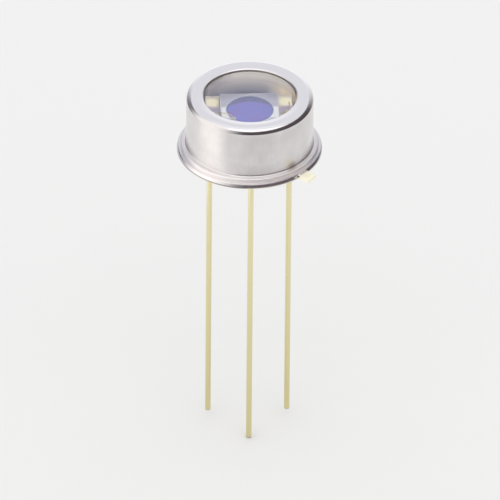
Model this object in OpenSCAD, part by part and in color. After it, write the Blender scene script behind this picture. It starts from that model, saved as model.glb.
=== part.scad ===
// PIN photodiode in a windowed metal can with three wire leads.
// Millimetres, +Z up through the window. The origin is the centre of the header's underside,
// which is the seating plane, so the leads hang below zero.
// The case lead points to the front (-Y), the anode lead is on the left and the cathode lead on the right.

/* [Cap] */
// Outside diameter of the cap's barrel
cap_d = 8.1; // [7.9:0.05:8.3]
// Height of the cap's top above the seating plane
cap_h = 4.1; // [3.9:0.05:4.6]
// Thickness of the drawn sheet
cap_wall = 0.25; // [0.2:0.01:0.3]
// Outside radius of the cap's top edge
cap_corner_r = 0.4; // [0.32:0.02:0.5]
// Width of the rim round the aperture, from the aperture to the outside of the barrel
cap_rim_w = 1.1; // [0.95:0.05:1.3]
// Radius on the upper edge of the aperture
aperture_edge_r = 0.15; // [0.1:0.01:0.18]
// Width of the weld flange beyond the barrel
weld_flange_w = 0.34; // [0.3:0.01:0.4]
// Outside radius of the bend between the barrel and the weld flange
weld_bend_r = 0.12; // [0.06:0.01:0.2]
// Radius on the upper edge of the weld flange
weld_edge_r = 0.08; // [0.04:0.01:0.12]

/* [Window] */
// Thickness of the glass disc
window_t = 0.5; // [0.3:0.05:0.6]
// How far the glass disc reaches under the cap's rim
window_lap = 0.55; // [0.4:0.05:0.75]
// Thickness of the solder glass between the disc and the rim
window_seal_t = 0.05; // [0.03:0.01:0.1]
// How far the solder glass stays back from the aperture
window_seal_setback = 0.08; // [0.04:0.01:0.15]
// Height of the solder-glass fillet round the edge of the disc
window_fillet_h = 0.38; // [0.3:0.02:0.45]

/* [Header] */
// Thickness of the header's flange
flange_t = 0.28; // [0.22:0.02:0.36]
// How far the header's flange stands out beyond the weld flange
flange_step = 0.24; // [0.23:0.01:0.3]
// Radius of the flange's rolled rim, which is upright at the seating plane and leans in above it
flange_roll_r = 0.45; // [0.4:0.05:0.6]
// Gap between the platform and the inside of the cap
platform_gap = 0.1; // [0.08:0.01:0.2]
// Radius on the platform's top edge
platform_edge_r = 0.1; // [0.05:0.01:0.15]
// Width of the index tab
tab_w = 0.8; // [0.7:0.05:1]
// Length of the index tab beyond the flange
tab_l = 0.8; // [0.7:0.05:1.15]
// Radius on the corners of the index tab
tab_corner_r = 0.1; // [0.05:0.01:0.2]
// Direction of the index tab, counted from the cathode lead
tab_angle = -45; // [-60:1:-30]

/* [Leads] */
// Diameter of the leads
lead_d = 0.36; // [0.34:0.01:0.48]
// Length of the leads below the seating plane
lead_l = 20.4; // [10:0.1:38]
// How much longer the case lead is cut than the other two
case_lead_extra_l = 0.4; // [0:0.1:1]
// How far plating and wetting thicken the leads' roots and posts, all round
lead_root_t = 0.015; // [0.01:0.005:0.03]
// Length over which the root tapers to the lead's diameter, below the seating plane
lead_root_l = 1.27; // [0.8:0.01:1.5]
// Diameter of the circle that the leads stand on
lead_circle_d = 5.08; // [5:0.02:5.2]
// Radius on the cut ends of the leads
lead_tip_r = 0.1; // [0.04:0.01:0.15]
// Diameter of the glass bead round each insulated lead
bead_d = 1.1; // [0.9:0.05:1.2]
// Depth of the case lead's socket in the header
socket_h = 0.6; // [0.4:0.05:0.8]
// Diameter of the brazed collar round the case lead
braze_d = 0.9; // [0.7:0.05:1.1]
// Depth of the brazed collar
braze_h = 0.2; // [0.1:0.02:0.3]
// Depth of the hollow that glass and braze leave where they wet the lead
dish_h = 0.05; // [0.02:0.01:0.08]
// Flat border beside that hollow
dish_land = 0.03; // [0.02:0.01:0.05]

/* [Chip] */
// Side of the square silicon chip
chip_w = 3.7; // [3.4:0.05:3.9]
// Thickness of the chip
chip_t = 0.42; // [0.3:0.02:0.5]
// Depth of the chip's surface below the cap's top
chip_depth = 1.45; // [1.3:0.05:1.6]
// Bare silicon border round the chip's aluminium film
scribe_w = 0.06; // [0.03:0.01:0.1]
// Diameter of the round active area
active_d = 3; // [2.4:0.1:3.2]
// Thickness of the aluminium and antireflection films
film_t = 0.01; // [0.005:0.005:0.02]
// Diameter of the anode's bond pad
bond_pad_d = 0.4; // [0.3:0.05:0.5]
// How far the bond pad's centre lies inside the edge of the active area
bond_pad_inset = 0.05; // [0:0.01:0.1]
// Direction of the bond pad, counted from the cathode lead
bond_pad_angle = 221; // [200:1:240]

/* [Carrier] */
// Thickness of the ceramic carrier
carrier_t = 0.75; // [0.4:0.05:0.9]
// Border of the carrier beside the chip, towards the posts
carrier_side_w = 0.9; // [0.7:0.05:0.9]
// Border of the carrier in front of the chip and behind it
carrier_land_w = 0.45; // [0.3:0.05:0.5]
// Clearance between a post's glass bead and the carrier's notch round it
notch_gap = 0.03; // [0.02:0.01:0.04]
// Thickness of the carrier's gold film
carrier_pad_t = 0.02; // [0.01:0.01:0.04]
// Bare ceramic border round that film
carrier_pad_margin = 0.04; // [0.02:0.01:0.06]
// Thickness of the bond layers under the carrier and under the chip
bond_t = 0.03; // [0.02:0.01:0.05]
// How far the die attach spreads beyond the chip
attach_bead_w = 0.04; // [0.02:0.01:0.06]

/* [Bond wires] */
// Diameter of the bond wires
wire_d = 0.04; // [0.025:0.005:0.05]
// Height of the wires' loops, between bonds at one level
wire_loop_h = 0.3; // [0.2:0.02:0.36]
// Diameter of the balls at the first bonds and of the pressed second bonds
ball_d = 0.1; // [0.08:0.01:0.12]
// Height of the balls at the first bonds
ball_h = 0.03; // [0.02:0.005:0.04]
// Thickness of the pressed second bonds
stitch_h = 0.02; // [0.01:0.005:0.03]
// How far the posts' tops lie below the chip's surface
post_drop = 0.4; // [0.3:0.05:0.5]
// Distance of the cathode's first bond behind its post
land_y = 1.3; // [1:0.05:1.6]

/* [Hidden] */
$fn = 96;
// Sides of a bond wire and rings along it
wire_sides = 8;
wire_rings = 24;
// Extra length that carries a cut clear of the surfaces it opens
through = 1;

// Cap
cap_r = cap_d / 2;
cap_inner_r = cap_r - cap_wall;
cap_inner_corner_r = cap_corner_r - cap_wall;
cap_ceiling = cap_h - cap_wall;
aperture_r = cap_r - cap_rim_w;
weld_flange_r = cap_r + weld_flange_w;
weld_top = flange_t + cap_wall;

// Window
window_r = aperture_r + window_lap;
window_top = cap_ceiling - window_seal_t;
window_bottom = window_top - window_t;
fillet_bottom = window_top - window_fillet_h;
fillet_gap = cap_inner_r - window_r;

// Header
flange_r = weld_flange_r + flange_step;
platform_r = cap_inner_r - platform_gap;
platform_fillet_r = platform_gap / 2;
tab_end_r = flange_r + tab_l;

// Leads
lead_r = lead_d / 2;
root_r = lead_r + lead_root_t;
lead_circle_r = lead_circle_d / 2;
anode_at = [-lead_circle_r, 0, 0];
cathode_at = [lead_circle_r, 0, 0];
case_at = [0, -lead_circle_r, 0];

// Chip and carrier, stacked from the chip's surface down to the platform
chip_top = cap_h - chip_depth;
chip_bottom = chip_top - chip_t;
pad_top = chip_bottom - bond_t;
carrier_top = pad_top - carrier_pad_t;
carrier_bottom = carrier_top - carrier_t;
platform_h = carrier_bottom - bond_t;
carrier_w = chip_w + 2 * carrier_side_w;
carrier_l = chip_w + 2 * carrier_land_w;
notch_r = bead_d / 2 + notch_gap;
post_top = chip_top - post_drop;
bond_pad_circle_r = active_d / 2 - bond_pad_inset;
bond_pad_at = bond_pad_circle_r * [cos(bond_pad_angle), sin(bond_pad_angle)];

// First and second bonds of the two wires
anode_pad_at = [bond_pad_at[0], bond_pad_at[1], chip_top + film_t];
anode_post_at = anode_at + [0, 0, post_top];
cathode_pad_at = cathode_at + [0, land_y, pad_top];
cathode_post_at = cathode_at + [0, 0, post_top];

// Sliver between a square corner and the arc that rounds it, on the side of the corner that dir points to.
// Taken away from a solid corner it rounds it, and added in a hollow corner it fills it.
module corner_sliver(corner, r, dir) {
    difference() {
        translate(corner + r / 2 * dir) square(r, center = true);
        translate(corner + r * dir) circle(r);
    }
}

// Half section of the space inside the cap: straight barrel, rounded ceiling, flared foot
module cap_cavity_section() {
    difference() {
        square([cap_inner_r, cap_ceiling]);
        corner_sliver([cap_inner_r, cap_ceiling], cap_inner_corner_r, [-1, -1]);
    }
    corner_sliver([cap_inner_r, flange_t], cap_wall + weld_bend_r, [1, 1]);
}

// Half section of the cap: one sheet of constant thickness, bent out at its foot into the weld flange
module cap_section() {
    difference() {
        union() {
            translate([0, flange_t]) square([cap_r, cap_h - flange_t]);
            translate([0, flange_t]) square([weld_flange_r, cap_wall]);
            corner_sliver([cap_r, weld_top], weld_bend_r, [1, 1]);
        }
        corner_sliver([cap_r, cap_h], cap_corner_r, [-1, -1]);
        corner_sliver([weld_flange_r, weld_top], weld_edge_r, [-1, -1]);
        cap_cavity_section();
        square([aperture_r, cap_h]);
        corner_sliver([aperture_r, cap_h], aperture_edge_r, [1, -1]);
    }
}

module cap() {
    color("#c9c6c8") rotate_extrude() cap_section();
}

module window() {
    color("#dfe8ea", 0.4) translate([0, 0, window_bottom]) cylinder(r = window_r, h = window_t);
}

// Half section of the solder glass: a thin seat under the rim and a hollow fillet round the disc
module window_seal_section() {
    seat_r = aperture_r + window_seal_setback;
    difference() {
        intersection() {
            cap_cavity_section();
            translate([seat_r, fillet_bottom]) square([cap_inner_r - seat_r, cap_ceiling - fillet_bottom]);
        }
        square([window_r, window_top]);
        translate([window_r + fillet_gap / 2, fillet_bottom]) circle(fillet_gap / 2 - dish_land);
    }
}

module window_seal() {
    color("#4a4a52") rotate_extrude() window_seal_section();
}

// Half section of the stamped header: rolled flange below, platform above, and a fillet between them
module header_section() {
    difference() {
        union() {
            square([flange_r - flange_roll_r, flange_t]);
            intersection() {
                square([flange_r, flange_t]);
                translate([flange_r - flange_roll_r, 0]) circle(flange_roll_r);
            }
            square([platform_r, platform_h]);
        }
        corner_sliver([platform_r, platform_h], platform_edge_r, [-1, -1]);
    }
    corner_sliver([platform_r, flange_t], platform_fillet_r, [1, 1]);
}

// Outline of the index tab along +X, from inside the flange to its rounded end
module tab_outline() {
    difference() {
        translate([weld_flange_r, -tab_w / 2]) square([tab_end_r - weld_flange_r, tab_w]);
        for (side = [-1, 1])
            corner_sliver([tab_end_r, side * tab_w / 2], tab_corner_r, [-1, -side]);
    }
}

// Blind round hole in the header's underside
module underside_hole(d, depth) {
    translate([0, 0, -through]) cylinder(d = d, h = through + depth);
}

module header() {
    color("#d8c684") difference() {
        union() {
            rotate_extrude() header_section();
            rotate(tab_angle) linear_extrude(flange_t) tab_outline();
        }
        for (at = [anode_at, cathode_at])
            translate(at) underside_hole(bead_d, platform_h + through);
        translate(case_at) underside_hole(2 * root_r, socket_h);
        translate(case_at) underside_hole(braze_d, braze_h);
    }
}

// Straight wire of the given length below the seating plane, with a rounded cut end.
// Its root tapers into a thicker post, which ends at the given height.
module lead_wire(length, top) {
    color("#dcd0a0") rotate_extrude() {
        difference() {
            translate([0, -length]) square([lead_r, length - lead_root_l]);
            corner_sliver([lead_r, -length], lead_tip_r, [-1, 1]);
        }
        polygon([
            [0, -lead_root_l], [lead_r, -lead_root_l],
            [root_r, 0], [root_r, top], [0, top]
        ]);
    }
}

module lead_anode() {
    translate(anode_at) lead_wire(lead_l, post_top);
}

module lead_cathode() {
    translate(cathode_at) lead_wire(lead_l, post_top);
}

module lead_case() {
    translate(case_at) lead_wire(lead_l + case_lead_extra_l, socket_h);
}

// Radius of the arc that is s deep over a chord c
function arc_radius(c, s) = (c * c / 4 + s * s) / (2 * s);

// Ring that fills a hole of diameter d round a lead, hollowed by dish_h at each end that is listed.
// An end is [height, direction out of the ring].
module wetted_ring(d, h, ends) {
    wall = d / 2 - root_r;
    dish_r = arc_radius(wall - 2 * dish_land, dish_h);
    rotate_extrude() difference() {
        translate([root_r, 0]) square([wall, h]);
        for (end = ends)
            translate([root_r + wall / 2, end[0] + end[1] * (dish_r - dish_h)]) circle(dish_r);
    }
}

module glass_seal() {
    color("#3c4a48") wetted_ring(bead_d, platform_h, [[0, -1], [platform_h, 1]]);
}

module glass_seal_anode() {
    translate(anode_at) glass_seal();
}

module glass_seal_cathode() {
    translate(cathode_at) glass_seal();
}

module case_lead_braze() {
    color("#cdbb84") translate(case_at) wetted_ring(braze_d, braze_h, [[0, -1]]);
}

// Flat rectangular layer, centred on the axis
module layer(w, l, bottom, top) {
    translate([-w / 2, -l / 2, bottom]) cube([w, l, top - bottom]);
}

// Layer of the carrier, set in from its outline, with a round notch for each post
module notched_layer(inset, bottom, top) {
    difference() {
        layer(carrier_w - 2 * inset, carrier_l - 2 * inset, bottom, top);
        for (post_at = [anode_at, cathode_at])
            translate(post_at + [0, 0, bottom - through])
                cylinder(r = notch_r + inset, h = top - bottom + 2 * through);
    }
}

module carrier_bond() {
    color("#a8a49c") notched_layer(0, platform_h, carrier_bottom);
}

module ceramic_carrier() {
    color("#efece4") notched_layer(0, carrier_bottom, carrier_top);
}

module carrier_pad() {
    color("#d9b95c") notched_layer(carrier_pad_margin, carrier_top, pad_top);
}

module die_attach() {
    attach_w = chip_w + 2 * attach_bead_w;
    color("#b0aca4") layer(attach_w, attach_w, pad_top, chip_bottom);
}

module photodiode_chip() {
    color("#55555e") layer(chip_w, chip_w, chip_bottom, chip_top);
}

module bond_pad_outline() {
    translate(bond_pad_at) circle(d = bond_pad_d);
}

module chip_electrode() {
    color("#d4d4dc") translate([0, 0, chip_top]) linear_extrude(film_t) {
        difference() {
            square(chip_w - 2 * scribe_w, center = true);
            circle(d = active_d);
        }
        bond_pad_outline();
    }
}

module active_area() {
    color("#8a8fc9") translate([0, 0, chip_top]) linear_extrude(film_t) difference() {
        circle(d = active_d);
        bond_pad_outline();
    }
}

// Point at share t of a cubic curve through its four control points
function on_curve(p, t) =
    pow(1 - t, 3) * p[0] + 3 * pow(1 - t, 2) * t * p[1] + 3 * (1 - t) * t * t * p[2] + pow(t, 3) * p[3];

// Direction of that curve at share t
function along_curve(p, t) =
    pow(1 - t, 2) * (p[1] - p[0]) + 2 * (1 - t) * t * (p[2] - p[1]) + t * t * (p[3] - p[2]);

function unit(v) = v / norm(v);

// Round wire along a curve that lies in one upright plane, as rings of points joined by quads
module swept_wire(p) {
    span = p[3] - p[0];
    side = unit([-span[1], span[0], 0]);
    points = [
        for (ring = [0 : wire_rings])
            let (t = ring / wire_rings, up = cross(side, unit(along_curve(p, t))))
            for (i = [0 : wire_sides - 1])
                let (a = 360 * i / wire_sides)
                on_curve(p, t) + wire_d / 2 * (cos(a) * side + sin(a) * up)
    ];
    walls = [
        for (ring = [0 : wire_rings - 1])
            for (i = [0 : wire_sides - 1])
                let (next = (i + 1) % wire_sides, base = ring * wire_sides, above = base + wire_sides)
                [base + i, base + next, above + next, above + i]
    ];
    start = [for (i = [wire_sides - 1 : -1 : 0]) i];
    end = [for (i = [0 : wire_sides - 1]) wire_rings * wire_sides + i];
    polyhedron(points, concat(walls, [start, end]), convexity = 6);
}

// Bond wire: it leaves its ball upright, loops over and comes down on its second bond
module bond_wire(first, second) {
    start = first + [0, 0, ball_h / 2];
    end = second + [0, 0, (wire_d + stitch_h) / 2];
    rise = [0, 0, 4 / 3 * wire_loop_h];
    color("#e3c87a") {
        swept_wire([start, start + rise, end + (start - end) / 3 + rise, end]);
        translate(first) cylinder(d = ball_d, h = ball_h);
        translate(second) cylinder(d = ball_d, h = stitch_h);
    }
}

module bond_wire_anode() {
    bond_wire(anode_pad_at, anode_post_at);
}

module bond_wire_cathode() {
    bond_wire(cathode_pad_at, cathode_post_at);
}

header();
cap();
window();
window_seal();
lead_anode();
lead_cathode();
lead_case();
glass_seal_anode();
glass_seal_cathode();
case_lead_braze();
carrier_bond();
ceramic_carrier();
carrier_pad();
die_attach();
photodiode_chip();
chip_electrode();
active_area();
bond_wire_anode();
bond_wire_cathode();
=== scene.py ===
# %% [markdown]
# # A PIN photodiode in a metal can
# The part is a light sensor. A square silicon chip sits behind a flat glass window, in a
# nickel-plated cap that is welded to a gold-plated header, on three long wire leads.
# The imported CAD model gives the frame: every piece made here goes exactly where its solid is,
# because a metal part has no slack. The work is in smooth surfaces and in the metals' finishes.

import bmesh
import bpy
import numpy as np
from mathutils import Matrix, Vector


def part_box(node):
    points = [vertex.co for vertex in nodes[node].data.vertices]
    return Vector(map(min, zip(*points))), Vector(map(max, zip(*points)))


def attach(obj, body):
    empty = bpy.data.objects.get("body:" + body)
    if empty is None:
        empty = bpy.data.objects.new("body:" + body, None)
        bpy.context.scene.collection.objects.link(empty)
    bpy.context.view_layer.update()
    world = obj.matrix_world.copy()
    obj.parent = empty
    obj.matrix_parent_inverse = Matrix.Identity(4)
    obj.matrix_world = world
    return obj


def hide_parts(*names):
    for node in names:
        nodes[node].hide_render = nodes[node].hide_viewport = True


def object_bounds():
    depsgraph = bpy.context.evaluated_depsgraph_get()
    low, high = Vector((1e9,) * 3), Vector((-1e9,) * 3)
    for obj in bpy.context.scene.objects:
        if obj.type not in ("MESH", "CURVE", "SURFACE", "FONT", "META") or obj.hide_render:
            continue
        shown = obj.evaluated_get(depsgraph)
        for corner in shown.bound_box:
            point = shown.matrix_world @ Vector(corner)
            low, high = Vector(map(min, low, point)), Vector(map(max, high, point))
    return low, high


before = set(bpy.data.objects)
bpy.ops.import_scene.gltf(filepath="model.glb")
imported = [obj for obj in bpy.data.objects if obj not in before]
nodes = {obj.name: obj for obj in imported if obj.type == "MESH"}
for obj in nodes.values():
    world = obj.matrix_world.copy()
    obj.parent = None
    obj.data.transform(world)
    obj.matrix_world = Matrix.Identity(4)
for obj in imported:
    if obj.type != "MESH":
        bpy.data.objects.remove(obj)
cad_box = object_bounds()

MM = 0.001


def box_mm(node):
    """Lowest and highest corner of a CAD node, in millimetres."""
    low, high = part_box(node)
    return np.array(low) / MM, np.array(high) / MM


print(len(nodes), "CAD nodes, box in mm:", np.round(np.array(cad_box) / MM, 3).tolist())

# %% [markdown]
# ## The camera
# The photograph looks down at the can from the front with a long lens, so upright edges stay almost
# parallel. A short lens close by would splay the leads. The camera is placed by one point: the
# centre of the seating plane has to land on its pixel of the picture, at the picture's scale.

# %% Camera
PICTURE = 500
PIXELS_PER_MM = 15.7
SEAT_PIXEL = np.array([249.5, 147.7])
CAMERA_DISTANCE = 1000.0
SENSOR = 36.0
NEAR = 0.01
FAR = 10.0
azimuth, elevation, lean = np.radians([-2.5, 34.8, 0.5])

back = np.array([
    np.sin(azimuth) * np.cos(elevation),
    -np.cos(azimuth) * np.cos(elevation),
    np.sin(elevation),
])
level = np.array([np.cos(azimuth), np.sin(azimuth), 0.0])
upright = np.cross(back, level)
right = np.cos(lean) * level + np.sin(lean) * upright
up = np.cos(lean) * upright - np.sin(lean) * level
off_centre = (SEAT_PIXEL - PICTURE / 2) / PIXELS_PER_MM
aim = -off_centre[0] * right + off_centre[1] * up

camera_data = bpy.data.cameras.new("camera")
camera_data.sensor_width = SENSOR
camera_data.lens = PIXELS_PER_MM * CAMERA_DISTANCE * SENSOR / PICTURE
camera_data.clip_start = NEAR
camera_data.clip_end = FAR
camera = bpy.data.objects.new("camera", camera_data)
placing = np.eye(4)
placing[:3, :3] = np.column_stack([right, up, back])
placing[:3, 3] = (aim + CAMERA_DISTANCE * back) * MM
camera.matrix_world = Matrix(placing.tolist())
bpy.context.scene.collection.objects.link(camera)
bpy.context.scene.camera = camera
bpy.context.scene.view_settings.view_transform = "Standard"
print("lens", round(camera_data.lens), "mm, aimed at", np.round(aim, 2).tolist(), "mm")

# %% [markdown]
# ## Turned surfaces
# Cap, header, window, leads and beads are all round, so each is a profile carried round an axis.
# Blender's Screw modifier could spin a drawn profile, but a formula on a grid is exact, and its
# seam and poles close by themselves. A profile is a list of bends with straight edges between them.
# Each straight edge gets a point close to both ends, which keeps smooth shading inside the bend.

# %% Helpers for turned surfaces
TURNS = 192
GUARD = 0.012
GUARD_SHARE = 0.25
MERGE = 1e-8
SLIT_SIDES = 3
SHARP_EDGE = np.radians(35)


def arc(centre, radius, start, stop, steps=14):
    """Points on a circle round centre, from one angle in degrees to another."""
    angle = np.radians(np.linspace(start, stop, steps + 1))
    return np.column_stack([centre[0] + radius * np.cos(angle), centre[1] + radius * np.sin(angle)])


def profile(*runs, closed=False):
    """Runs of (radius, height) points joined by straight edges, with a guard point near each end."""
    runs = [np.atleast_2d(np.array(run, float)) for run in runs]
    followers = runs[1:] + (runs[:1] if closed else [])
    joined = []
    for run, after in zip(runs, followers):
        edge = after[0] - run[-1]
        share = min(GUARD / max(np.linalg.norm(edge), GUARD), GUARD_SHARE)
        joined += [run, run[-1] + edge * np.array([[share], [1 - share]])]
    return np.vstack(joined if closed else joined + [runs[-1]])


def surface(name, points, wrap_rows=False, wrap_columns=True):
    """Object from a grid of points in mm (rows, columns, 3), where four neighbours make a face."""
    index = np.arange(points.shape[0] * points.shape[1]).reshape(points.shape[:2])
    if wrap_columns:
        index = np.hstack([index, index[:, :1]])
    if wrap_rows:
        index = np.vstack([index, index[:1]])
    faces = np.stack([index[:-1, :-1], index[:-1, 1:], index[1:, 1:], index[1:, :-1]], axis=-1)
    mesh = bpy.data.meshes.new(name)
    mesh.from_pydata((points.reshape(-1, 3) * MM).tolist(), [], faces.reshape(-1, 4).tolist())
    obj = bpy.data.objects.new(name, mesh)
    bpy.context.scene.collection.objects.link(obj)
    return close_up(obj)


def close_up(obj):
    """Merge seams and poles, fill slits left by a cut, turn faces outwards and shade up to sharp edges."""
    work = bmesh.new()
    work.from_mesh(obj.data)
    bmesh.ops.remove_doubles(work, verts=work.verts, dist=MERGE)
    bmesh.ops.holes_fill(work, edges=work.edges, sides=SLIT_SIDES)
    bmesh.ops.recalc_face_normals(work, faces=work.faces)
    open_edges = sum(not edge.is_manifold for edge in work.edges)
    volume = work.calc_volume(signed=True) / MM**3
    work.to_mesh(obj.data)
    work.free()
    obj.data.shade_smooth()
    obj.data.set_sharp_from_angle(angle=SHARP_EDGE)
    print(obj.name, len(obj.data.polygons), "faces,", round(volume, 4), "mm3, open edges", open_edges)
    return obj


def lathe(name, outline, centre=(0.0, 0.0), ring=False, turns=TURNS):
    """A (radius, height) outline carried round an upright axis: x = r cos a, y = r sin a, z = h."""
    angle = np.linspace(0, 2 * np.pi, turns, endpoint=False)
    radius, height = outline[:, :1], outline[:, 1:]
    grid = [centre[0] + radius * np.cos(angle), centre[1] + radius * np.sin(angle), height + 0 * angle]
    return surface(name, np.stack(grid, axis=-1), wrap_rows=ring)


def stand_for(piece, node):
    """Put a new piece in the place of a CAD node, on the one body that the part has."""
    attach(piece, "root")
    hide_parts(node)


# %% [markdown]
# ## The cap
# The cap is one sheet of nickel-iron, drawn into a cup, pierced for the window and bent out at its
# foot into a weld flange. Its outline is the sheet's whole cross-section, outside and inside, so the
# thickness shows at the aperture. Piercing rounds that edge and pulls the rim down by a few hundredths
# of a millimetre. So slight a slope is enough to catch another part of the sky, as a pale ring. The
# rim goes down on a curve that starts level, and the rounded edge stops a few degrees short of a
# quarter turn, to meet it without a kink.

# %% Cap
SHEET = 0.25
BARREL_R = 4.05
APERTURE_R = 2.95
WELD_R = 4.39
TOP_BEND = 0.4
FOOT_BEND = 0.12
APERTURE_EDGE = 0.15
WELD_EDGE = 0.08
PULL_DEPTH = 0.05
PULL_WIDTH = 0.55
PULL_SLOPE = 5.7
PULL_STEPS = 12

cap_low, cap_high = box_mm("cap")
foot, cap_top = cap_low[2], cap_high[2]
ceiling, inner_r, weld_top = cap_top - SHEET, BARREL_R - SHEET, foot + SHEET
edge_turn = np.radians(90 + PULL_SLOPE)
edge_end = APERTURE_R + APERTURE_EDGE * (1 + np.cos(edge_turn))
pull_r = np.linspace(edge_end, APERTURE_R + PULL_WIDTH, PULL_STEPS + 1)
share = (pull_r - APERTURE_R) / PULL_WIDTH
pull_z = cap_top - PULL_DEPTH * (1 - share**2 * (3 - 2 * share))
edge_z = pull_z[0] - APERTURE_EDGE * np.sin(edge_turn)
cap_outline = profile(
    (APERTURE_R, ceiling),
    arc((APERTURE_R + APERTURE_EDGE, edge_z), APERTURE_EDGE, 180, 90 + PULL_SLOPE),
    np.column_stack([pull_r, pull_z])[1:],
    arc((BARREL_R - TOP_BEND, cap_top - TOP_BEND), TOP_BEND, 90, 0, steps=24),
    arc((BARREL_R + FOOT_BEND, weld_top + FOOT_BEND), FOOT_BEND, 180, 270),
    arc((WELD_R - WELD_EDGE, weld_top - WELD_EDGE), WELD_EDGE, 90, 0),
    (WELD_R, foot),
    arc((BARREL_R + FOOT_BEND, weld_top + FOOT_BEND), SHEET + FOOT_BEND, 270, 180),
    arc((BARREL_R - TOP_BEND, cap_top - TOP_BEND), TOP_BEND - SHEET, 0, 90),
    closed=True,
)
stand_for(lathe("cap_shell", cap_outline, ring=True), "cap")

# %% [markdown]
# ## Window and solder glass
# A flat disc of glass is pressed under the rim from inside and held by a ring of solder glass, which
# wets the wall and the disc and leaves a hollow fillet. Both are lathe outlines too.

# %% Window and its seal
WINDOW_EDGE = 0.03
SEAL_R = 3.03
SEAL_LAND = 0.03

window_low, window_high = box_mm("window")
window_r, window_foot, window_top = window_high[0], window_low[2], window_high[2]
window_outline = profile(
    (0, window_foot),
    arc((window_r - WINDOW_EDGE, window_foot + WINDOW_EDGE), WINDOW_EDGE, 270, 360, steps=6),
    arc((window_r - WINDOW_EDGE, window_top - WINDOW_EDGE), WINDOW_EDGE, 0, 90, steps=6),
    (0, window_top),
)
stand_for(lathe("window_disc", window_outline), "window")

seal_foot = box_mm("window_seal")[0][2]
fillet_r = (inner_r - window_r) / 2 - SEAL_LAND
inner_bend = TOP_BEND - SHEET
seal_outline = profile(
    (SEAL_R, window_top),
    (SEAL_R, ceiling),
    arc((inner_r - inner_bend, ceiling - inner_bend), inner_bend, 90, 0),
    (inner_r, seal_foot),
    arc(((inner_r + window_r) / 2, seal_foot), fillet_r, 0, 180),
    (window_r, seal_foot),
    (window_r, window_top),
    closed=True,
)
stand_for(lathe("window_seal_ring", seal_outline, ring=True), "window_seal")

# %% [markdown]
# ## The header
# The header is stamped: a thin flange, a raised platform, and one tab that shows which lead is which.
# The punch rolls the flange's upper edge in and leaves the lower edge sharp. The round body is a
# lathe outline. The tab is a profile carried along a rounded rectangle. Booleans join them and cut
# the holes for the leads, because holes off the axis don't fit a turned grid.

# %% Helpers for plates and cuts
LEAST_CORNER = 1e-3


def rounded_rectangle(half_width, half_length, corner, steps=8):
    """Outline points round a rectangle whose corners are arcs, as an array of (x, y)."""
    quarter = np.radians(np.linspace(0, 90, steps + 1))
    turns = np.concatenate([quarter + turn for turn in np.radians([0, 90, 180, 270])])
    side_x = np.repeat([1, -1, -1, 1], steps + 1) * (half_width - corner)
    side_y = np.repeat([1, 1, -1, -1], steps + 1) * (half_length - corner)
    return np.column_stack([side_x + corner * np.cos(turns), side_y + corner * np.sin(turns)])


def plate(name, half_width, half_length, corner, rim, centre, turn):
    """Flat plate: a rim profile of (inset, height) carried round a rounded rectangle, and two flat ends."""
    rings = []
    for inset, height in rim:
        ring = rounded_rectangle(half_width - inset, half_length - inset, max(corner - inset, LEAST_CORNER))
        rings.append(np.column_stack([ring, np.full(len(ring), height)]))
    grid = np.array(rings)
    ends = np.repeat(grid[[0, -1]].mean(axis=1, keepdims=True), grid.shape[1], axis=1)
    grid = np.concatenate([ends[:1], grid, ends[1:]])
    turned = grid[..., :2] @ np.array([[np.cos(turn), np.sin(turn)], [-np.sin(turn), np.cos(turn)]])
    grid[..., :2] = turned + np.array(centre)
    return surface(name, grid)


def combine(obj, other, operation):
    """Apply one Boolean of two closed pieces and delete the second."""
    step = obj.modifiers.new("step", "BOOLEAN")
    step.operation, step.solver, step.object = operation, "EXACT", other
    bpy.context.view_layer.update()
    result = bpy.data.meshes.new_from_object(obj.evaluated_get(bpy.context.evaluated_depsgraph_get()))
    obj.modifiers.remove(step)
    obj.data = result
    bpy.data.objects.remove(other)


# %% Header
FLANGE_T = 0.28
FLANGE_R = 4.63
FLANGE_ROLL = 0.45
PLATFORM_R = 3.7
PLATFORM_EDGE = 0.1
PLATFORM_FILLET = 0.05
TAB_WIDTH = 0.8
TAB_END_R = 5.43
TAB_CORNER = 0.1
TAB_ROLL = 0.1
TAB_TURN = np.radians(-45)

platform_top = box_mm("header")[1][2]
roll_end = np.degrees(np.arcsin(FLANGE_T / FLANGE_ROLL))
header_outline = profile(
    (0, 0),
    arc((FLANGE_R - FLANGE_ROLL, 0), FLANGE_ROLL, 0, roll_end, steps=12),
    arc((PLATFORM_R + PLATFORM_FILLET, FLANGE_T + PLATFORM_FILLET), PLATFORM_FILLET, 270, 180),
    arc((PLATFORM_R - PLATFORM_EDGE, platform_top - PLATFORM_EDGE), PLATFORM_EDGE, 0, 90),
    (0, platform_top),
)
header_plate = lathe("header_plate", header_outline)
tab_middle = (WELD_R + TAB_END_R) / 2
tab_rim = np.vstack([[0, 0], arc((TAB_ROLL, FLANGE_T - TAB_ROLL), TAB_ROLL, 180, 90, steps=8)])
index_tab = plate(
    "index_tab", (TAB_END_R - WELD_R) / 2, TAB_WIDTH / 2, TAB_CORNER, tab_rim,
    centre=(tab_middle * np.cos(TAB_TURN), tab_middle * np.sin(TAB_TURN)), turn=TAB_TURN,
)
combine(header_plate, index_tab, "UNION")

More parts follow.
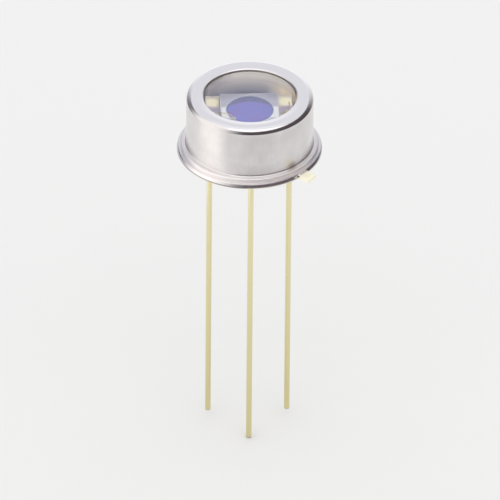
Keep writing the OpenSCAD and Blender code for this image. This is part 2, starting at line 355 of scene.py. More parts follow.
# %% Holes in the header
LEAD_R = 0.18
ROOT_R = 0.195
BEAD_R = 0.55
BRAZE_R = 0.45
BRAZE_DEPTH = 0.2
SOCKET_DEPTH = 0.6
HOLE_TURNS = 64
PIN_SPARE = 1.0
places = {}
for lead_name in ("lead_anode", "lead_cathode", "lead_case"):
    low, high = box_mm(lead_name)
    places[lead_name] = (low[:2] + high[:2]) / 2
holes = [
    ("lead_anode", BEAD_R, platform_top + PIN_SPARE),
    ("lead_cathode", BEAD_R, platform_top + PIN_SPARE),
    ("lead_case", ROOT_R, SOCKET_DEPTH),
    ("lead_case", BRAZE_R, BRAZE_DEPTH),
]
for lead_name, hole_r, depth in holes:
    pin = profile((0, -PIN_SPARE), (hole_r, -PIN_SPARE), (hole_r, depth), (0, depth))
    combine(header_plate, lathe("hole", pin, places[lead_name], turns=HOLE_TURNS), "DIFFERENCE")
close_up(header_plate)
stand_for(header_plate, "header")

# %% [markdown]
# ## Leads, beads and braze
# Each lead is a straight wire with a rounded cut end. Two of them pass through the header in beads of
# fused glass, whose surface dips where it wets the metal. The third is brazed into a blind socket.

# %% Leads
TIP_R = 0.1
LEAD_TURNS = 48
ROOT_LENGTH = 1.27
for lead_name in places:
    low, high = box_mm(lead_name)
    lead_outline = profile(
        (0, low[2]),
        arc((LEAD_R - TIP_R, low[2] + TIP_R), TIP_R, 270, 360, steps=8),
        (LEAD_R, -ROOT_LENGTH),
        (ROOT_R, 0),
        (ROOT_R, high[2]),
        (0, high[2]),
    )
    wire = lathe("wire_" + lead_name, lead_outline, places[lead_name], turns=LEAD_TURNS)
    stand_for(wire, lead_name)

# %% Glass beads and braze
DISH = 0.05
DISH_LAND = 0.03


def wetted_ring(name, centre, outer, bottom, top, both_ends):
    """Ring round a lead with hollow ends: half chord h and depth s give an arc of (h h + s s) / 2 s."""
    half_chord = (outer - ROOT_R) / 2 - DISH_LAND
    dish_r = (half_chord**2 + DISH**2) / (2 * DISH)
    spread = np.degrees(np.arcsin(half_chord / dish_r))
    middle = (ROOT_R + outer) / 2
    low = arc((middle, bottom - dish_r + DISH), dish_r, 90 + spread, 90 - spread)
    high = arc((middle, top + dish_r - DISH), dish_r, 270 + spread, 270 - spread)
    runs = [(ROOT_R, bottom), low, (outer, bottom), (outer, top)]
    runs += [high] if both_ends else []
    outline = profile(*runs, (ROOT_R, top), closed=True)
    return lathe(name, outline, centre, ring=True, turns=HOLE_TURNS)


for side in ("anode", "cathode"):
    bead = wetted_ring("glass_bead_" + side, places["lead_" + side], BEAD_R, 0, platform_top, True)
    stand_for(bead, "glass_seal_" + side)
collar = wetted_ring("braze_collar", places["lead_case"], BRAZE_R, 0, BRAZE_DEPTH, False)
stand_for(collar, "case_lead_braze")

# %% [markdown]
# ## Bond wires
# Two fine gold wires join the chip's pad and the carrier to the tops of the posts. A wire leaves its
# ball upright and comes down aslant, as a bonding tool draws it. That is one cubic curve, and a
# circle carried along it. The curve rises three quarters as far as its two inner points, so these
# are put four thirds of the loop's height up. A curve object would do as well, but this keeps the
# wire, ball and stitch in one mesh.

# %% Bond wires
WIRE_R = 0.02
BALL_R = 0.05
BALL_H = 0.03
STITCH_H = 0.02
LOOP_H = 0.3
LAND_Y = 1.3
PAD_R = 1.45
PAD_ANGLE = np.radians(221)
WIRE_STEPS = 48
WIRE_SIDES = 12
BALL_TURNS = 24


def bond_wire(name, first, second):
    """Cubic curve from a ball at first to a stitch at second, with a circle carried along it."""
    start = first + np.array([0, 0, BALL_H / 2])
    stop = second + np.array([0, 0, WIRE_R + STITCH_H / 2])
    rise = np.array([0, 0, 4 / 3 * LOOP_H])
    a, b, c, d = start, start + rise, stop + (start - stop) / 3 + rise, stop
    t = np.linspace(0, 1, WIRE_STEPS + 1)[:, None]
    path = (1 - t) ** 3 * a + 3 * (1 - t) ** 2 * t * b + 3 * (1 - t) * t**2 * c + t**3 * d
    along = (1 - t) ** 2 * (b - a) + 2 * (1 - t) * t * (c - b) + t**2 * (d - c)
    along /= np.linalg.norm(along, axis=1, keepdims=True)
    side = np.cross([0, 0, 1.0], stop - start)
    side /= np.linalg.norm(side)
    lift = np.cross(along, side)
    angle = np.linspace(0, 2 * np.pi, WIRE_SIDES, endpoint=False)[:, None]
    circle = WIRE_R * (np.cos(angle) * side + np.sin(angle) * lift[:, None])
    tube = path[:, None] + circle
    ends = np.repeat(path[[0, -1]][:, None], WIRE_SIDES, axis=1)
    wire = surface(name, np.concatenate([ends[:1], tube, ends[1:]]))
    for part_name, at, height in (("ball", first, BALL_H), ("stitch", second, STITCH_H)):
        side_bulge = arc((BALL_R - height / 2, at[2] + height / 2), height / 2, 270, 450, steps=8)
        bulge = profile((0, at[2]), side_bulge, (0, at[2] + height))
        combine(wire, lathe(part_name, bulge, at[:2], turns=BALL_TURNS), "UNION")
    return close_up(wire)


electrode_top = box_mm("chip_electrode")[1][2]
anode_pad = np.array([PAD_R * np.cos(PAD_ANGLE), PAD_R * np.sin(PAD_ANGLE), electrode_top])
post_top = box_mm("lead_anode")[1][2]
anode_post = np.array([*places["lead_anode"], post_top])
stand_for(bond_wire("gold_wire_anode", anode_pad, anode_post), "bond_wire_anode")
pad_top = box_mm("carrier_pad")[1][2]
cathode_pad = np.array([*(places["lead_cathode"] + [0, LAND_Y]), pad_top])
cathode_post = np.array([*places["lead_cathode"], post_top])
stand_for(bond_wire("gold_wire_cathode", cathode_pad, cathode_post), "bond_wire_cathode")

# %% [markdown]
# ## Finishes
# Every finish is a node material. Patterns read Object coordinates, turned into millimetres first, so
# a noise's scale is about the number of grains, lines or clouds in a millimetre of the real thing.
# Plating grain, flakes and draw lines are really a few thousandths of a millimetre wide. They would
# not show in the picture, so they are drawn a few hundredths wide. One helper adds a node with its
# settings and links. Two more open and close a material, because each one starts and ends in the
# same way. Some sockets go by number: Map Range takes what lies between its sockets 1 and 2 to what
# lies between 3 and 4, and Mix blends sockets 2 and 3, or 6 and 7 where they are colours.

# %% Helpers for finishes
COLOUR = {"out": 2, "data_type": "RGBA"}
SMOOTH = {"interpolation_type": "SMOOTHSTEP"}
FALLS = {3: 1.0, 4: 0.0}


def linear(code):
    """An sRGB hex colour as linear RGBA: c / 12.92 below 0.04045, else ((c + 0.055) / 1.055) ^ 2.4."""
    value = np.array([int(code[i:i + 2], 16) for i in (1, 3, 5)]) / 255
    value = np.where(value <= 0.04045, value / 12.92, ((value + 0.055) / 1.055) ** 2.4)
    return (*value.tolist(), 1.0)


def add(tree, kind, inputs=None, out=0, **settings):
    """Add one node and give back one output: inputs are values or sockets, settings are its own options."""
    node = tree.nodes.new("ShaderNode" + kind)
    for option, value in settings.items():
        setattr(node, option, value)
    for key, value in (inputs or {}).items():
        if isinstance(value, bpy.types.NodeSocket):
            tree.links.new(value, node.inputs[key])
        else:
            node.inputs[key].default_value = value
    return node.outputs[out] if node.outputs else node


def open_finish(name):
    """A new material, its node tree and Object coordinates in millimetres."""
    material = bpy.data.materials.new(name)
    material.use_nodes = True
    tree = material.node_tree
    tree.nodes.clear()
    place = add(tree, "TexCoord", out="Object")
    return material, tree, add(tree, "VectorMath", {0: place, "Scale": 1 / MM}, operation="SCALE")


def axis_distance(tree, place):
    """Distance from the upright axis in millimetres: the length of (x, y, 0)."""
    flat_place = add(tree, "VectorMath", {0: place, 1: (1, 1, 0)}, operation="MULTIPLY")
    return add(tree, "VectorMath", {0: flat_place}, out="Value", operation="LENGTH")


def close_finish(material, inputs):
    """The shader, with constants and patterns on its own sockets, and the output."""
    tree = material.node_tree
    shader = add(tree, "BsdfPrincipled", inputs)
    add(tree, "OutputMaterial", {"Surface": shader})
    print(material.name, len(tree.nodes), "nodes,", len(tree.links), "links")


# %% [markdown]
# ## Satin nickel plate
# The cap mirrors its surroundings softly. Close up, the eye finds fine upright draw lines on the
# barrel, a smoother bend at the top and a matt weld flange, which is painted darker towards both
# sides as painted shade. Inside, the wall is painted pale and less metallic near the top, as painted
# light, and darker blue-grey metal further down, as painted shade. The cut edge of the aperture is
# painted dark brown, darker on the right, as painted shade. The painted light is greyer on the left.
# On the right, low beside the gold, it turns beige, a painted reflection of the gold. Outside, a brown
# patch at the barrel's foot, above the tab, is a painted reflection of the tab.
# Masks on height, radius and the way across tell these places apart, and then colours and gloss are
# laid over each other, one place at a time. Noise that is stretched upwards gives the draw lines
# without a seam, which a noise in angle and height would have.

# %% Nickel: places on the cap
# the brown mark at the barrel's foot above the tab is a painted reflection of the tab
TAB_REFLECTION_SPOT = (2.56, -3.14, 0.62)
nickel, tree, place = open_finish("satin_nickel_plate")
height = add(tree, "SeparateXYZ", {0: place}, out="Z")
across = add(tree, "SeparateXYZ", {0: place}, out="X")
off_middle = add(tree, "Math", {0: across}, operation="ABSOLUTE")
radius = axis_distance(tree, place)
from_tab_reflection = add(tree, "VectorMath", {0: place, 1: TAB_REFLECTION_SPOT}, out="Value", operation="DISTANCE")
below_rim = add(tree, "MapRange", {0: height, 1: ceiling - 0.01, 2: ceiling + 0.01, **FALLS})
within = add(tree, "MapRange", {0: radius, 1: inner_r + 0.05, 2: inner_r + 0.15, **FALLS})
inside = add(tree, "Math", {0: below_rim, 1: within}, operation="MULTIPLY")
at_cut = add(tree, "MapRange", {0: radius, 1: APERTURE_R + 0.01, 2: APERTURE_R + 0.05, **FALLS})
under_edge = add(tree, "MapRange", {0: height, 1: ceiling + 0.11, 2: ceiling + 0.14, **FALLS})
cut = add(tree, "Math", {0: at_cut, 1: under_edge}, operation="MULTIPLY")
on_rim = add(tree, "MapRange", {0: height, 1: cap_top - 0.12, 2: cap_top - 0.04})
on_barrel = add(tree, "MapRange", {0: height, 1: cap_top - 0.7, 2: cap_top - 0.35, **FALLS})
at_foot = add(tree, "MapRange", {0: height, 1: foot + 0.52, 2: foot + 1.32, **FALLS})
at_weld = add(tree, "MapRange", {0: radius, 1: BARREL_R + 0.07, 2: BARREL_R + 0.15}, **SMOOTH)
at_side = add(tree, "MapRange", {0: off_middle, 1: 3.5, 2: 4.2})
tab_reflection = add(tree, "MapRange", {0: from_tab_reflection, 1: 0.1, 2: 0.5, 3: 0.6, 4: 0.0})
print(len(tree.nodes), "nodes find the places on the cap")

# %% Nickel: painted light and shade inside
warm_side = add(tree, "MapRange", {0: across, 1: 1.2, 2: 2.2})
cool_side = add(tree, "MapRange", {0: across, 1: -2.0, 2: -0.8, **FALLS})
low = add(tree, "MapRange", {0: height, 1: 2.0, 2: 2.7, **FALLS})
warm = add(tree, "Math", {0: warm_side, 1: low}, operation="MULTIPLY")
not_warm = add(tree, "MapRange", {0: warm, 3: 1.0, 4: 0.15})
bottom = add(tree, "MapRange", {0: height, 1: 1.3, 2: 1.9, **FALLS})
deep = add(tree, "MapRange", {0: height, 1: 1.5, 2: 3.0, **FALLS})
deep = add(tree, "Math", {0: deep, 1: not_warm}, operation="MULTIPLY")
# the inner wall's colours are painted light and shade: pale at the top, beige low on the right as a painted
# reflection of the gold, blue-grey lower down
pale = add(tree, "Mix", {0: cool_side, 6: linear("#FFF7F0"), 7: linear("#DAD3D6")}, **COLOUR)
pale = add(tree, "Mix", {0: warm, 6: pale, 7: linear("#F5E0C4")}, **COLOUR)
lower_painted_shade = add(tree, "Mix", {0: bottom, 6: linear("#7C7C96"), 7: linear("#9192BD")}, **COLOUR)
inner_light_and_shade = add(tree, "Mix", {0: deep, 6: pale, 7: lower_painted_shade}, **COLOUR)
bare = add(tree, "MapRange", {0: deep, 3: 0.0, 4: 0.9})
metal = add(tree, "Mix", {0: inside, 2: 1.0, 3: bare}, data_type="FLOAT")
print(len(tree.nodes), "nodes with the bloom")

# %% Nickel: colour
cloud = add(tree, "TexNoise", {"Vector": place, "Scale": 0.8, "Detail": 3.0})
cloud = add(tree, "MapRange", {0: cloud, 1: 0.35, 2: 0.65})
# the weld flange is painted darker towards both sides: painted shade
weld = add(tree, "Mix", {0: at_side, 6: linear("#F8F4F3"), 7: linear("#DAD7DD")}, **COLOUR)
# the aperture's cut edge is painted dark brown, darker on the right: painted shade
cut_painted_shade = add(tree, "Mix", {0: warm_side, 6: linear("#B0A7A2"), 7: linear("#7A7473")}, **COLOUR)
tone = add(tree, "Mix", {0: cloud, 6: linear("#E3E0DF"), 7: linear("#D8D4D4")}, **COLOUR)
layers = [
    (on_rim, linear("#DCDBE1")), (tab_reflection, linear("#8A7565")), (at_weld, weld), (inside, inner_light_and_shade), (cut, cut_painted_shade),
]
for where, colour in layers:
    tone = add(tree, "Mix", {0: where, 6: tone, 7: colour}, **COLOUR)
print(len(tree.nodes), "nodes with the colours")

# %% Nickel: gloss and draw lines
drawn_place = add(tree, "VectorMath", {0: place, 1: (1, 1, 0.05)}, operation="MULTIPLY")
lines = add(tree, "TexNoise", {"Vector": drawn_place, "Scale": 14.0, "Detail": 4.0})
grain = add(tree, "TexNoise", {"Vector": place, "Scale": 11.0, "Detail": 4.0})
satin = add(tree, "MapRange", {0: lines, 1: 0.3, 2: 0.7, 3: 0.2, 4: 0.27})
gloss = add(tree, "Mix", {0: on_barrel, 2: 0.12, 3: satin}, data_type="FLOAT")
for where, rough in ((at_foot, 0.32), (at_weld, 0.5), (inside, 0.32), (cut, 0.6)):
    gloss = add(tree, "Mix", {0: where, 2: gloss, 3: rough}, data_type="FLOAT")
relief = add(tree, "Mix", {0: 0.5, 2: lines, 3: grain}, data_type="FLOAT")
bump = add(tree, "Bump", {"Strength": 0.05, "Distance": 0.02 * MM, "Height": relief})
close_finish(nickel, {"Base Color": tone, "Metallic": metal, "Roughness": gloss, "Normal": bump})

# %% [markdown]
# ## Gold plate on the header
# The header is plated with gold that shows warm and satin on the underside, and pale and matt on the
# stamped tab, which scatters more light than it mirrors. On the ring round the weld the heat lets the
# thin gold sink into the nickel below, so that ring looks grey, and the platform inside the can looks
# grey too. Towards both sides the ring is painted darker, as painted shade. The ring's lower edge is
# painted darker in front on the left.
# Masks on radius and height draw all of this, and noise frays the ring's border as heat does.

# %% Gold on the header: places
gold, tree, place = open_finish("gold_plate")
height = add(tree, "SeparateXYZ", {0: place}, out="Z")
across = add(tree, "SeparateXYZ", {0: place}, out="X")
off_middle = add(tree, "Math", {0: across}, operation="ABSOLUTE")
radius = axis_distance(tree, place)
fray = add(tree, "TexNoise", {"Vector": place, "Scale": 4.0, "Detail": 3.0})
frayed = add(tree, "Math", {0: fray, 1: 0.16, 2: radius}, operation="MULTIPLY_ADD")
platform = add(tree, "MapRange", {0: height, 1: FLANGE_T + 0.02, 2: FLANGE_T + 0.12})
ring_in = add(tree, "MapRange", {0: frayed, 1: PLATFORM_R + 0.15, 2: PLATFORM_R + 0.28})
ring_in = add(tree, "Math", {0: ring_in, 1: platform}, operation="MAXIMUM")
ring_out = add(tree, "MapRange", {0: frayed, 1: FLANGE_R + 0.13, 2: FLANGE_R + 0.27, **FALLS})
above = add(tree, "MapRange", {0: height, 1: 0.005, 2: 0.03})
ring = add(tree, "Math", {0: ring_in, 1: ring_out}, operation="MULTIPLY")
ring = add(tree, "Math", {0: ring, 1: above}, operation="MULTIPLY")
on_tab = add(tree, "MapRange", {0: radius, 1: FLANGE_R + 0.07, 2: FLANGE_R + 0.17})
at_side = add(tree, "MapRange", {0: off_middle, 1: 3.5, 2: 4.3})
# the ring's lower edge is painted darker in front on the left
low_edge = add(tree, "MapRange", {0: height, 1: 0.04, 2: 0.12, **FALLS})
on_left = add(tree, "MapRange", {0: across, 1: -0.9, 2: 0.1, **FALLS})
at_edge = add(tree, "MapRange", {0: radius, 1: FLANGE_R - 0.18, 2: FLANGE_R - 0.08})
darker_left_edge = add(tree, "Math", {0: low_edge, 1: on_left}, operation="MULTIPLY")
darker_left_edge = add(tree, "Math", {0: darker_left_edge, 1: at_edge}, operation="MULTIPLY")
print(len(tree.nodes), "nodes find the places on the header")

# %% Gold on the header: colour and gloss
cloud = add(tree, "TexNoise", {"Vector": place, "Scale": 1.3, "Detail": 3.0})
grain = add(tree, "TexNoise", {"Vector": place, "Scale": 16.0, "Detail": 4.0})
# the ring's grey is its own; its darkening towards both sides is painted shade
sunk_grey_and_side_shade = add(tree, "Mix", {0: at_side, 6: linear("#F2EEED"), 7: linear("#D6D3D9")}, **COLOUR)
tone = add(tree, "Mix", {0: cloud, 6: linear("#FBF5D6"), 7: linear("#F4EABC")}, **COLOUR)
for where, colour in ((on_tab, linear("#FFFAE2")), (ring, sunk_grey_and_side_shade), (darker_left_edge, linear("#A0968F"))):
    tone = add(tree, "Mix", {0: where, 6: tone, 7: colour}, **COLOUR)
metal = add(tree, "MapRange", {0: on_tab, 3: 1.0, 4: 0.25})
gloss = add(tree, "MapRange", {0: cloud, 1: 0.3, 2: 0.7, 3: 0.3, 4: 0.42})
ring_gloss = add(tree, "MapRange", {0: radius, 1: FLANGE_R - 0.15, 2: FLANGE_R - 0.05, 3: 0.45, 4: 0.24})
for where, rough in ((on_tab, 0.45), (ring, ring_gloss)):
    gloss = add(tree, "Mix", {0: where, 2: gloss, 3: rough}, data_type="FLOAT")
bump = add(tree, "Bump", {"Strength": 0.08, "Distance": 0.02 * MM, "Height": grain})
close_finish(gold, {"Base Color": tone, "Metallic": metal, "Roughness": gloss, "Normal": bump})

# %% [markdown]
# ## Gold flash on the leads
# The leads wear only a flash of gold, pale and slightly green, over drawn wire. Long fine lines run
# down the wire, the colour deepens towards the tips, and the cut end is bare metal.

# %% Gold flash on the leads
lead_end = box_mm("lead_anode")[0][2]
case_end = box_mm("lead_case")[0][2]
lead_gold, tree, place = open_finish("gold_flash_on_wire")
height = add(tree, "SeparateXYZ", {0: place}, out="Z")
forward = add(tree, "SeparateXYZ", {0: place}, out="Y")
longer = add(tree, "MapRange", {0: forward, 1: -1.5, 2: -1.0, 3: lead_end - case_end, 4: 0.0})
from_end = add(tree, "Math", {0: height, 1: longer}, operation="ADD")
drawn_place = add(tree, "VectorMath", {0: place, 1: (1, 1, 0.03)}, operation="MULTIPLY")
lines = add(tree, "TexNoise", {"Vector": drawn_place, "Scale": 26.0, "Detail": 3.0})
cloud = add(tree, "TexNoise", {"Vector": place, "Scale": 0.7, "Detail": 4.0})
# the colour deepens towards the tips
towards_tips = add(tree, "MapRange", {0: height, 1: -19.0, 2: -4.0, **FALLS})
cut = add(tree, "MapRange", {0: from_end, 1: lead_end + 0.04, 2: lead_end + 0.16, **FALLS})
tone = add(tree, "Mix", {0: cloud, 6: linear("#EEE7BF"), 7: linear("#E8DFB0")}, **COLOUR)
tone = add(tree, "Mix", {0: towards_tips, 6: tone, 7: linear("#DDD3A3")}, **COLOUR)
tone = add(tree, "Mix", {0: cut, 6: tone, 7: linear("#C9C2B0")}, **COLOUR)
gloss = add(tree, "MapRange", {0: lines, 1: 0.3, 2: 0.7, 3: 0.1, 4: 0.18})
bump = add(tree, "Bump", {"Strength": 0.05, "Distance": 0.01 * MM, "Height": lines})
close_finish(lead_gold, {"Base Color": tone, "Metallic": 1.0, "Roughness": gloss, "Normal": bump})

# %% [markdown]
# ## Window glass
# The disc is clear flat glass that only a little sky on its face gives away. Towards its edge the
# longer way through the glass looks faintly green. The shader's transmission bends the view of the
# chip, as the real disc does, which a see-through film would not.

# %% Window glass
glass, tree, place = open_finish("polished_window_glass")
radius = axis_distance(tree, place)
edge = add(tree, "MapRange", {0: radius, 1: window_r - 0.6, 2: window_r})
tone = add(tree, "Mix", {0: edge, 6: linear("#FDFEFE"), 7: linear("#E3F0EA")}, **COLOUR)
close_finish(glass, {"Base Color": tone, "Roughness": 0.0, "IOR": 1.5, "Transmission Weight": 1.0})

# %% [markdown]
# ## Solder glass and bead glass
# Solder glass is milky grey and flowed, with specks of filler. The beads are dark green glass with
# small bubbles, which a Voronoi pattern gives: each cell has one point, and only near it is it light.

# %% Solder glass
solder_glass, tree, place = open_finish("flowed_solder_glass")
flow = add(tree, "TexNoise", {"Vector": place, "Scale": 2.2, "Detail": 3.0, "Distortion": 0.8})
speck = add(tree, "TexVoronoi", {"Vector": place, "Scale": 9.0})
speck = add(tree, "MapRange", {0: speck, 1: 0.1, 2: 0.2, **FALLS})
tone = add(tree, "Mix", {0: flow, 6: linear("#C6C6D0"), 7: linear("#B4B5C2")}, **COLOUR)
tone = add(tree, "Mix", {0: speck, 6: tone, 7: linear("#8F909C")}, **COLOUR)
gloss = add(tree, "MapRange", {0: flow, 3: 0.12, 4: 0.25})
bump = add(tree, "Bump", {"Strength": 0.1, "Distance": 0.02 * MM, "Height": flow})
close_finish(solder_glass, {"Base Color": tone, "Roughness": gloss, "Normal": bump})

# %% Bead glass
bead_glass, tree, place = open_finish("fused_bead_glass")
flow = add(tree, "TexNoise", {"Vector": place, "Scale": 3.0, "Detail": 2.0, "Distortion": 0.6})
bubble = add(tree, "TexVoronoi", {"Vector": place, "Scale": 7.0})
bubble = add(tree, "MapRange", {0: bubble, 1: 0.12, 2: 0.26, **FALLS})
tone = add(tree, "Mix", {0: flow, 6: linear("#2C3B38"), 7: linear("#3B4C47")}, **COLOUR)
tone = add(tree, "Mix", {0: bubble, 6: tone, 7: linear("#71827B")}, **COLOUR)
gloss = add(tree, "MapRange", {0: flow, 3: 0.05, 4: 0.12})
bump = add(tree, "Bump", {"Strength": 0.15, "Distance": 0.02 * MM, "Height": bubble})
close_finish(bead_glass, {"Base Color": tone, "Roughness": gloss, "Normal": bump})

# %% [markdown]
# ## Braze and bond layers
# Braze runs into the joint as one wet drop and freezes with a dull, cloudy skin. The silver-filled
# glue under carrier and chip is full of flakes: each Voronoi cell is a flake with its own brightness.

# %% Braze
braze_alloy, tree, place = open_finish("braze_alloy")
flow = add(tree, "TexNoise", {"Vector": place, "Scale": 6.0, "Detail": 4.0, "Distortion": 0.5})
tone = add(tree, "Mix", {0: flow, 6: linear("#E4D5A6"), 7: linear("#CDBE95")}, **COLOUR)
gloss = add(tree, "MapRange", {0: flow, 3: 0.22, 4: 0.4})
bump = add(tree, "Bump", {"Strength": 0.15, "Distance": 0.02 * MM, "Height": flow})
close_finish(braze_alloy, {"Base Color": tone, "Metallic": 1.0, "Roughness": gloss, "Normal": bump})

# %% Silver glue
silver_glue, tree, place = open_finish("silver_glue")
flake = add(tree, "TexVoronoi", {"Vector": place, "Scale": 45.0}, out="Color")
shade = add(tree, "SeparateXYZ", {0: flake})
tone = add(tree, "Mix", {0: shade, 6: linear("#8E8A84"), 7: linear("#C9C6C0")}, **COLOUR)
gloss = add(tree, "MapRange", {0: shade, 3: 0.35, 4: 0.6})
bump = add(tree, "Bump", {"Strength": 0.3, "Distance": 0.01 * MM, "Height": shade})
close_finish(silver_glue, {"Base Color": tone, "Metallic": 0.7, "Roughness": gloss, "Normal": bump})

# %% [markdown]
# ## Ceramic and gold film of the carrier
# Alumina is warm white and dense, with a fine grain that shows under the lens. The film on it was
# printed through a screen, and the mesh of the screen leaves a faint pattern of crossing waves. They
# are 0.1 mm apart, because a wave repeats every 0.314 mm divided by its scale. The gold is painted
# brightest round one spot on each side, as a painted highlight, and greyer away from it, and round
# each post a violet patch is a painted reflection.

# %% Alumina
alumina, tree, place = open_finish("sintered_alumina")
grain = add(tree, "TexNoise", {"Vector": place, "Scale": 30.0, "Detail": 3.0})
cloud = add(tree, "TexNoise", {"Vector": place, "Scale": 1.5, "Detail": 2.0})
mixed = add(tree, "Mix", {0: 0.5, 2: grain, 3: cloud}, data_type="FLOAT")
tone = add(tree, "Mix", {0: mixed, 6: linear("#F6F3EC"), 7: linear("#E4E0D6")}, **COLOUR)
gloss = add(tree, "MapRange", {0: grain, 3: 0.45, 4: 0.65})
bump = add(tree, "Bump", {"Strength": 0.2, "Distance": 0.01 * MM, "Height": grain})
close_finish(alumina, {"Base Color": tone, "Roughness": gloss, "Normal": bump})

# %% Printed gold film
HIGHLIGHT_SPOT = (2.33, 1.5, 0.0)
post_x = places["lead_cathode"][0]
gold_film, tree, place = open_finish("printed_gold_film")
weft = add(tree, "TexWave", {"Vector": place, "Scale": 3.0, "Distortion": 0.4}, bands_direction="X")
warp = add(tree, "TexWave", {"Vector": place, "Scale": 3.0, "Distortion": 0.4}, bands_direction="Y")
mesh_mark = add(tree, "Math", {0: weft, 1: warp}, operation="MULTIPLY")
flat_place = add(tree, "VectorMath", {0: place, 1: (1, 1, 0)}, operation="MULTIPLY")
mirrored = add(tree, "VectorMath", {0: flat_place}, operation="ABSOLUTE")
# the violet patch round each post is a painted reflection
from_post = add(tree, "VectorMath", {0: mirrored, 1: (post_x, 0, 0)}, out="Value", operation="DISTANCE")
violet_reflection = add(tree, "MapRange", {0: from_post, 1: 0.9, 2: 1.2, **FALLS})
# painted highlight: the gold is brightest round one spot on each side and greyer away from it
from_highlight = add(tree, "VectorMath", {0: mirrored, 1: HIGHLIGHT_SPOT}, out="Value", operation="DISTANCE")
outside_highlight = add(tree, "MapRange", {0: from_highlight, 1: 0.25, 2: 0.75}, **SMOOTH)
tone = add(tree, "Mix", {0: mesh_mark, 6: linear("#FFF6DA"), 7: linear("#FBEDC6")}, **COLOUR)
tone = add(tree, "Mix", {0: outside_highlight, 6: tone, 7: linear("#CBC1B4")}, **COLOUR)
tone = add(tree, "Mix", {0: violet_reflection, 6: tone, 7: linear("#C0AFCD")}, **COLOUR)
gloss = add(tree, "MapRange", {0: mesh_mark, 3: 0.35, 4: 0.5})
metal = add(tree, "MapRange", {0: violet_reflection, 3: 0.0, 4: 0.4})
bump = add(tree, "Bump", {"Strength": 0.1, "Distance": 0.005 * MM, "Height": mesh_mark})
close_finish(gold_film, {"Base Color": tone, "Metallic": metal, "Roughness": gloss, "Normal": bump})

# %% [markdown]
# ## The chip
# Bare silicon is grey and finely scored by the saw on its sides. Aluminium covers the border with a
# film that is bright beside the active area, and painted a duller blue-grey towards the front and
# back, as a painted reflection of the wall. The round active area has a thin film tuned against
# reflection: it takes the red and green out of the mirrored sky, so it looks violet. The film is
# thicker near its edge and looks darker there, and a darker crescent towards the back is a painted
# reflection.

# %% Silicon
chip_top = box_mm("photodiode_chip")[1][2]
silicon, tree, place = open_finish("sawn_silicon")
height = add(tree, "SeparateXYZ", {0: place}, out="Z")
side = add(tree, "MapRange", {0: height, 1: chip_top - 0.012, 2: chip_top - 0.004, **FALLS})
saw = add(tree, "TexWave", {"Vector": place, "Scale": 8.0, "Distortion": 1.5}, bands_direction="Z")
sawn = add(tree, "Math", {0: saw, 1: side}, operation="MULTIPLY")
tone = add(tree, "Mix", {0: sawn, 6: linear("#D2D2DC"), 7: linear("#9E9EAA")}, **COLOUR)
gloss = add(tree, "MapRange", {0: side, 3: 0.06, 4: 0.4})
bump = add(tree, "Bump", {"Strength": 0.2, "Distance": 0.01 * MM, "Height": sawn})
close_finish(silicon, {"Base Color": tone, "Metallic": 0.3, "Roughness": gloss, "Normal": bump})

# %% Aluminium film
ACTIVE_R = 1.5
aluminium, tree, place = open_finish("evaporated_aluminium")
radius = axis_distance(tree, place)
rim = add(tree, "MapRange", {0: radius, 1: ACTIVE_R, 2: ACTIVE_R + 0.06, **FALLS})
grain = add(tree, "TexNoise", {"Vector": place, "Scale": 40.0, "Detail": 2.0})
# duller blue-grey towards the front and back: a painted reflection of the wall
shifted = add(tree, "VectorMath", {0: place, 1: (0, 0.3, 0)}, operation="ADD")
mirrored = add(tree, "VectorMath", {0: shifted}, operation="ABSOLUTE")
along = add(tree, "SeparateXYZ", {0: mirrored}, out="Y")
blue_grey_reflection = add(tree, "MapRange", {0: along, 1: 0.5, 2: 0.75}, **SMOOTH)
tone = add(tree, "Mix", {0: grain, 6: linear("#F6F7FB"), 7: linear("#EDEEF4")}, **COLOUR)
tone = add(tree, "Mix", {0: blue_grey_reflection, 6: tone, 7: linear("#AEADC1")}, **COLOUR)
tone = add(tree, "Mix", {0: rim, 6: tone, 7: linear("#A9ABC0")}, **COLOUR)
gloss = add(tree, "MapRange", {0: grain, 3: 0.24, 4: 0.34})
metal = add(tree, "MapRange", {0: blue_grey_reflection, 3: 1.0, 4: 0.6})
bump = add(tree, "Bump", {"Strength": 0.05, "Distance": 0.002 * MM, "Height": grain})
close_finish(aluminium, {"Base Color": tone, "Metallic": metal, "Roughness": gloss, "Normal": bump})

# %% Antireflection film
violet, tree, place = open_finish("violet_antireflection_film")
radius = axis_distance(tree, place)
edge = add(tree, "MapRange", {0: radius, 1: ACTIVE_R - 0.18, 2: ACTIVE_R - 0.08}, **SMOOTH)
border = add(tree, "MapRange", {0: radius, 1: ACTIVE_R - 0.06, 2: ACTIVE_R}, **SMOOTH)
flat_place = add(tree, "VectorMath", {0: place, 1: (1, 1, 0)}, operation="MULTIPLY")
# the darker crescent towards the back is a painted reflection
from_front = add(tree, "VectorMath", {0: flat_place, 1: (0, -1, 0)}, out="Value", operation="DISTANCE")
dark_crescent_reflection = add(tree, "MapRange", {0: from_front, 1: 1.75, 2: 2.05}, **SMOOTH)
cloud = add(tree, "TexNoise", {"Vector": place, "Scale": 1.2, "Detail": 3.0})
cloud = add(tree, "MapRange", {0: cloud, 1: 0.35, 2: 0.65})
tone = add(tree, "Mix", {0: cloud, 6: linear("#7480D0"), 7: linear("#8475C6")}, **COLOUR)
tone = add(tree, "Mix", {0: edge, 6: tone, 7: linear("#686BB2")}, **COLOUR)
tone = add(tree, "Mix", {0: dark_crescent_reflection, 6: tone, 7: linear("#62669A")}, **COLOUR)
tone = add(tree, "Mix", {0: border, 6: tone, 7: linear("#A4A6C4")}, **COLOUR)
gloss = add(tree, "MapRange", {0: cloud, 3: 0.05, 4: 0.1})
close_finish(violet, {"Base Color": tone, "Metallic": 1.0, "Roughness": gloss})

